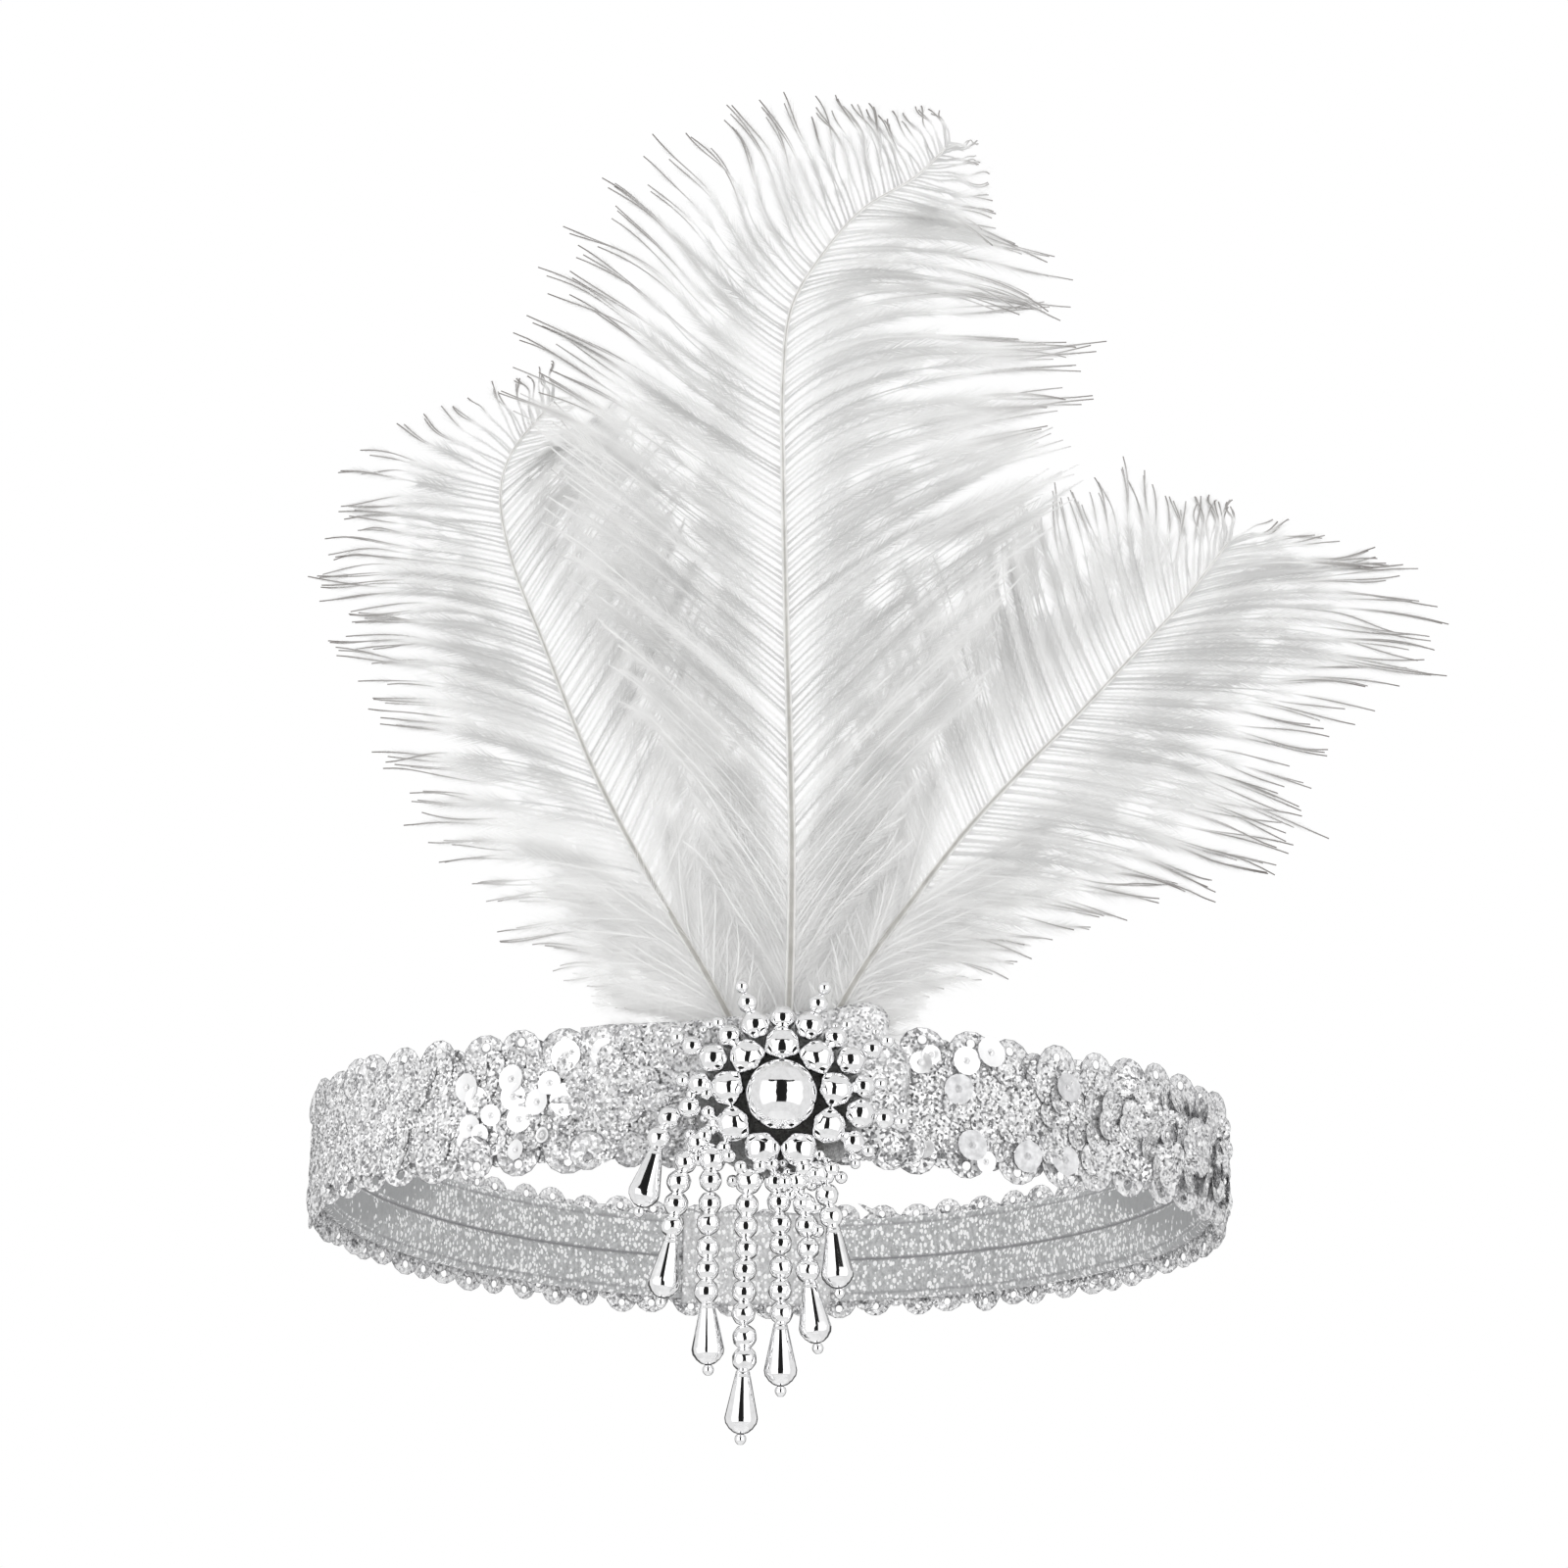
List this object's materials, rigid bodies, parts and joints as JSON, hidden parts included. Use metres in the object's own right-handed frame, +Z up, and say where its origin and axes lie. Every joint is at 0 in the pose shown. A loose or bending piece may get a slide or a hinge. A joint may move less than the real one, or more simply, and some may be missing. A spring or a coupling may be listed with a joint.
{
  "type": "feathered headband with bead brooch",
  "caption": "Closed loop headband of sequined trim with ostrich plumes standing over a round bead brooch and beaded strings with teardrops hanging below it.",
  "frame": {"origin": "middle of the loop at half the band's height, where the head is", "axes": "+Z up, out of the top of the loop, along the plumes; -Y to the front, where the brooch is; +X to the right as the front is seen"},
  "size_m": [0.1927, 0.2044, 0.2236],
  "materials": {
    "sequin_trim": "silver sequins and glitter thread on stretch knit",
    "elastic_lining": "grey elastic knit with glitter specks",
    "mesh_cloth": "light grey glitter mesh",
    "felt": "matt dark grey felt",
    "mirror_bead": "mirror silver on faceted beads",
    "feather": "soft white ostrich plume, a little translucent"
  },
  "bodies": {
    "root": {"sequin_band": "sequin_trim", "elastic_lining": "elastic_lining", "lapped_end": "sequin_trim", "quill_patch": "mesh_cloth", "felt_backing": "felt", "centre_bead": "mirror_bead", "ring_bead_1": "mirror_bead", "ring_bead_2": "mirror_bead", "ring_bead_3": "mirror_bead", "ring_bead_4": "mirror_bead", "ring_bead_5": "mirror_bead", "ring_bead_6": "mirror_bead", "ring_bead_7": "mirror_bead", "ring_bead_8": "mirror_bead", "ring_bead_9": "mirror_bead", "long_ray_1": "mirror_bead", "long_ray_2": "mirror_bead", "long_ray_3": "mirror_bead", "long_ray_4": "mirror_bead", "long_ray_5": "mirror_bead", "short_ray_1": "mirror_bead", "short_ray_2": "mirror_bead", "short_ray_3": "mirror_bead", "short_ray_4": "mirror_bead", "short_ray_5": "mirror_bead", "short_ray_6": "mirror_bead", "bead_string_1": "mirror_bead", "bead_string_2": "mirror_bead", "bead_string_3": "mirror_bead", "bead_string_4": "mirror_bead", "bead_string_5": "mirror_bead", "bead_string_6": "mirror_bead", "bead_string_7": "mirror_bead", "plume_left": "feather", "plume_centre": "feather", "plume_right": "feather"}
  },
  "joints": []
}
